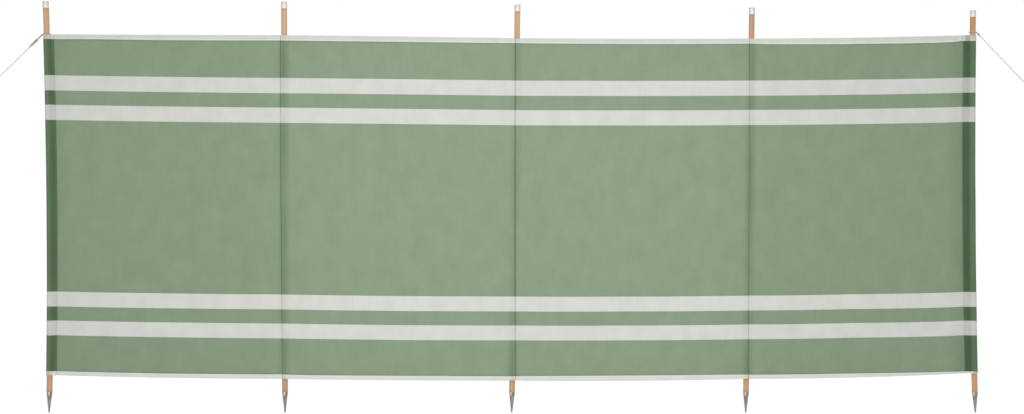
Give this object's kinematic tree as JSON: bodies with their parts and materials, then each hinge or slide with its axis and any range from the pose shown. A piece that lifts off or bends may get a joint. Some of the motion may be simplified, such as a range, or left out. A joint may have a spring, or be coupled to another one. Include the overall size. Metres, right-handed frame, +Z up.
{
  "type": "beach windbreak",
  "caption": "Striped cloth beach windbreak in bays, on leaning wooden poles with metal caps and rolled steel spikes, stayed at both ends by guy lines with runners and wire pegs.",
  "frame": {"origin": "the blunt tip of the centre pole's spike", "axes": "+X along the windbreak to the right, +Y to the back, away from the cloth's front, +Z up"},
  "size_m": [5.9477, 0.0423, 1.5002],
  "materials": {
    "pole_wood": "bare turned softwood, fine straight grain",
    "cap_metal": "satin, pressed",
    "spike_steel": "dull galvanised sheet",
    "bay_cloth": "woven cotton, sage green with white stripes",
    "hem_cloth": "woven cotton, white, folded and stitched",
    "sleeve_cloth": "woven cotton in two layers, darker sage green with white stripes",
    "guy_cord": "twisted pale cord",
    "runner": "varnished",
    "peg_steel": "galvanised wire"
  },
  "bodies": {
    "root": {"pole_1": "pole_wood", "pole_cap_1": "cap_metal", "spike_1": "spike_steel", "pole_sleeve_1": "sleeve_cloth", "pole_2": "pole_wood", "pole_cap_2": "cap_metal", "spike_2": "spike_steel", "pole_sleeve_2": "sleeve_cloth", "pole_3": "pole_wood", "pole_cap_3": "cap_metal", "spike_3": "spike_steel", "pole_sleeve_3": "sleeve_cloth", "pole_4": "pole_wood", "pole_cap_4": "cap_metal", "spike_4": "spike_steel", "pole_sleeve_4": "sleeve_cloth", "pole_5": "pole_wood", "pole_cap_5": "cap_metal", "spike_5": "spike_steel", "pole_sleeve_5": "sleeve_cloth", "cloth_bay_1": "bay_cloth", "top_hem_1": "hem_cloth", "bottom_hem_1": "hem_cloth", "cloth_bay_2": "bay_cloth", "top_hem_2": "hem_cloth", "bottom_hem_2": "hem_cloth", "cloth_bay_3": "bay_cloth", "top_hem_3": "hem_cloth", "bottom_hem_3": "hem_cloth", "cloth_bay_4": "bay_cloth", "top_hem_4": "hem_cloth", "bottom_hem_4": "hem_cloth", "guy_line_left": "guy_cord", "guy_runner_left": "runner", "guy_knots_left": "guy_cord", "guy_peg_left": "peg_steel", "guy_line_right": "guy_cord", "guy_runner_right": "runner", "guy_knots_right": "guy_cord", "guy_peg_right": "peg_steel"}
  },
  "joints": []
}
